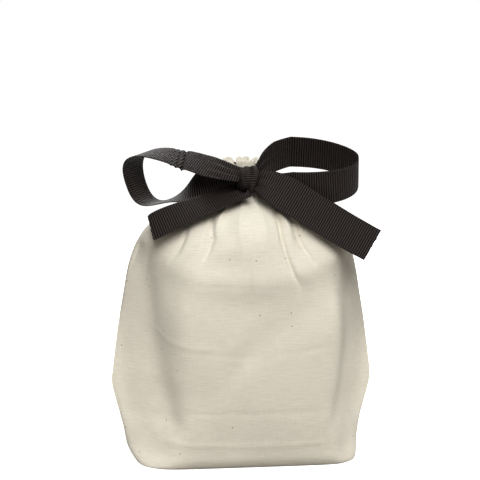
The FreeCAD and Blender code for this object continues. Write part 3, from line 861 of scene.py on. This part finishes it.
def tint(made, amount, base, other):
    """Mix two colours by an amount that changes over the surface."""
    mix = node(made, "Mix", [("Factor", amount)], data_type="RGBA")
    for socket, value in ((6, base), (7, other)):
        if isinstance(value, tuple):
            mix.inputs[socket].default_value = (*value, 1)
        else:
            made.node_tree.links.new(value, mix.inputs[socket])
    return mix.outputs[2]


def threads(made, direction, pitch):
    """Bands one thread apart, across the cloth or along it."""
    wave = node(made, "TexWave", [("Vector", flat_cloth(made, (1, 1)))], wave_type="BANDS",
                bands_direction=direction)
    wave.inputs["Scale"].default_value = pi / 10 / pitch
    wave.inputs["Distortion"].default_value = 0.6
    wave.inputs["Detail Scale"].default_value = 2.0
    return wave.outputs["Fac"]


def bump(made, shader, height, distance, strength):
    """Drive the shader's normal from a height in metres."""
    relief = node(made, "Bump", [("Height", height)])
    relief.inputs["Distance"].default_value = distance
    relief.inputs["Strength"].default_value = strength
    made.node_tree.links.new(relief.outputs["Normal"], shader.inputs["Normal"])


print("a thread every", 0.0005 / MM, "mm is a wave of scale", round(pi / 10 / 0.0005))

# %% Muslin
# Streaks of weft and warp and a fine grain mix a shaded and a bright colour; broad clouds
# wash them, and three cells in ten have a speck at their middle.
WARP_PITCH, WEFT_PITCH = 0.00046, 0.0005
THREAD_SHADE, THREAD_LIGHT = (0.42, 0.365, 0.275), (0.965, 0.91, 0.78)
WASH, SPECK = (0.73, 0.69, 0.60), (0.22, 0.15, 0.085)
SPECK_RADIUS, SPECK_CHOICE = 0.026, 0.7

muslin, shader = new_material("muslin", (0.70, 0.64, 0.53), 0.92)
shader.inputs["Sheen Weight"].default_value = 0.12
shader.inputs["Sheen Roughness"].default_value = 0.6
shader.inputs["Specular IOR Level"].default_value = 0.25
streaks = reckon(muslin, "MULTIPLY", cloudy(muslin, (110, 1800), 3.0), 0.5)
for scale, detail, share in (((2000, 150), 3.0, 0.22), ((1500, 1500), 2.0, 0.28)):
    part = reckon(muslin, "MULTIPLY", cloudy(muslin, scale, detail), share)
    streaks = reckon(muslin, "ADD", streaks, part)
color = tint(muslin, streaks, THREAD_SHADE, THREAD_LIGHT)
broad = reckon(muslin, "MULTIPLY", cloudy(muslin, (22, 26), 2.0), 0.35)
color = tint(muslin, broad, color, WASH)
cells = node(muslin, "TexVoronoi", [("Vector", flat_cloth(muslin, (62, 62)))],
             voronoi_dimensions="2D")
cells.inputs["Scale"].default_value = 1.0
speck = reckon(muslin, "LESS_THAN", cells.outputs["Distance"], SPECK_RADIUS)
chance = node(muslin, "SeparateColor", [("Color", cells.outputs["Color"])])
chosen = reckon(muslin, "GREATER_THAN", chance.outputs[0], SPECK_CHOICE)
speck = reckon(muslin, "MULTIPLY", reckon(muslin, "MULTIPLY", speck, chosen), 0.85)
color = tint(muslin, speck, color, SPECK)
muslin.node_tree.links.new(color, shader.inputs["Base Color"])
weave = reckon(muslin, "MAXIMUM", threads(muslin, "X", WARP_PITCH), threads(muslin, "Y", WEFT_PITCH))
weave = reckon(muslin, "ADD", weave, reckon(muslin, "MULTIPLY", streaks, 1.2))
bump(muslin, shader, weave, 0.00012, 0.7)
print("muslin has", len(muslin.node_tree.nodes), "nodes")

# %% Grosgrain
# Each rib's crown gets a painted highlight, and each valley gets painted shade, near black.
PAINTED_VALLEY_SHADE, PAINTED_CROWN_HIGHLIGHT, DUST = (0.0008, 0.0006, 0.0006), (0.052, 0.04, 0.036), (0.014, 0.0105, 0.0095)
RIB_THREAD = 0.0003

grosgrain, shader = new_material("grosgrain", (0.012, 0.0098, 0.0092), 0.6)
shader.inputs["Specular IOR Level"].default_value = 0.07
# The rib bands lay a painted highlight on each crown and painted shade in each valley.
painted_crown_highlights = reckon(grosgrain, "POWER", threads(grosgrain, "Y", RIB_PITCH * MM), 2.5)
color = tint(grosgrain, painted_crown_highlights, PAINTED_VALLEY_SHADE, PAINTED_CROWN_HIGHLIGHT)
dust = reckon(grosgrain, "MULTIPLY", cloudy(grosgrain, (160, 160), 3.0), 0.08)
color = tint(grosgrain, dust, color, DUST)
grosgrain.node_tree.links.new(color, shader.inputs["Base Color"])
bump(grosgrain, shader, threads(grosgrain, "X", RIB_THREAD), 0.00004, 0.25)

for piece in (sack_front, sack_back, *allowances):
    piece.data.materials.append(muslin)
for piece in (left_loop, right_loop, left_tail, right_tail, wrap, core, drawstring):
    piece.data.materials.append(grosgrain)
print("grosgrain has", len(grosgrain.node_tree.nodes), "nodes")

# %% [markdown]
# ## What each piece stands for, and what it moves with
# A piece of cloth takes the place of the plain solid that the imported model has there.
# The sack, the knot and the drawstring are one body, and each loop and tail is its own,
# because each swings by itself about the knot.

# %% Bodies and sheets
for piece in (sack_front, sack_back, wrap, core, drawstring, *allowances):
    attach(piece, "sack")
for piece, body in ((left_loop, "left_loop"), (right_loop, "right_loop"),
                    (left_tail, "left_tail"), (right_tail, "right_tail")):
    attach(piece, body)
    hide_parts(body)
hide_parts("front_panel", "front_casing")
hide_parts("back_panel", "back_casing")
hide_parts("knot_wrap")
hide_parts("knot_core")
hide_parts("drawstring")
print("five bodies:", "the sack, two loops and two tails")

# %% Flat sizes of the sheets
# Each panel was cut as wide as half the sack's girth, and as long as the run from the
# base seam to the hem's edge.  Each free ribbon is as long as its middle line.
print("each panel is cut", round(FLAT_WIDTH), "mm wide and about", round(front_run), "mm long")

# %% [markdown]
# ## Floor and surround
# A small product studio has a sheet of white paper under the object.  A brighter lamp
# could keep that white, but it would bleach the cloth.  So the floor glows a little, and
# it is kept out of the bounced light, because a glowing floor would flatten the folds.
# The surround lights the sack dimly and warmly, and only the camera sees it as white.

# %% Floor
bm = bmesh.new()
bmesh.ops.create_grid(bm, x_segments=1, y_segments=1, size=3.0)
floor = add_piece("floor", bm)
paper, shader = new_material("paper", (0.92, 0.92, 0.915), 0.9)
shader.inputs["Emission Color"].default_value = (1, 1, 1, 1)
shader.inputs["Emission Strength"].default_value = 0.9
floor.data.materials.append(paper)
floor.visible_diffuse = False
print("the floor glows with strength", round(shader.inputs["Emission Strength"].default_value, 2))

# %% Surround
world = bpy.data.worlds.new("studio")
world.use_nodes = True
tree = world.node_tree
surround, white = tree.nodes["Background"], tree.nodes.new("ShaderNodeBackground")
surround.inputs["Color"].default_value = (1, 0.94, 0.85, 1)
surround.inputs["Strength"].default_value = 0.2
white.inputs["Color"].default_value = (1, 1, 1, 1)
white.inputs["Strength"].default_value = 1.0
path, mix = tree.nodes.new("ShaderNodeLightPath"), tree.nodes.new("ShaderNodeMixShader")
tree.links.new(path.outputs["Is Camera Ray"], mix.inputs["Fac"])
tree.links.new(surround.outputs[0], mix.inputs[1])
tree.links.new(white.outputs[0], mix.inputs[2])
tree.links.new(mix.outputs[0], tree.nodes["World Output"].inputs["Surface"])
bpy.context.scene.world = world
print("surround of strength", round(surround.inputs["Strength"].default_value, 2))

# %% [markdown]
# ## Lamps and camera
# One large soft lamp in front and above models the folds.  A cooler one from overhead
# lifts the shoulder, two small ones at the foot stand in for the light that a white floor
# sends up into the lower corners, and one lights the back.


# %% Lamps
def lamp(name, place, target, power, size, **settings):
    """A round lamp aimed from one place at another, both in metres."""
    made = bpy.data.lights.new(name, "AREA")
    made.energy, made.shape, made.size = power, "DISK", size
    for setting, value in settings.items():
        setattr(made, setting, value)
    holder = bpy.data.objects.new(name, made)
    bpy.context.collection.objects.link(holder)
    holder.location = place
    holder.rotation_euler = (Vector(target) - Vector(place)).to_track_quat("-Z", "Y").to_euler()
    print(name, "lamp of", power, "watts")


lamp("key", (-0.03, -0.72, 0.70), (0, 0, 0.08), 9.3, 0.62)
lamp("top", (-0.05, -0.22, 0.85), (0, -0.02, 0.12), 1.1, 0.4, color=(0.76, 0.92, 1.0))
for name, side, power in (("left_side", -1, 0.0105), ("right_side", 1, 0.0150)):
    lamp(name, (side * 0.19, -0.07, 0.008), (side * 0.05, -0.01, 0.030), power, 0.06,
         spread=radians(58))
lamp("back", (0.12, 0.75, 0.60), (0, 0, 0.08), 6.5, 0.6)

# %% Camera
view = bpy.data.cameras.new("view")
view.lens, view.sensor_width = 142.2, 36.0
camera = bpy.data.objects.new("view", view)
bpy.context.collection.objects.link(camera)
camera.location = (-0.1529, -1.0792, 0.2681)
look = Vector((-0.00108, 0.00075, 0.1245)) - camera.location
camera.rotation_euler = look.to_track_quat("-Z", "Y").to_euler()
bpy.context.scene.camera = camera
bpy.context.scene.view_settings.view_transform = "Standard"
print("the camera is", round(look.length, 3), "metres from what it looks at")
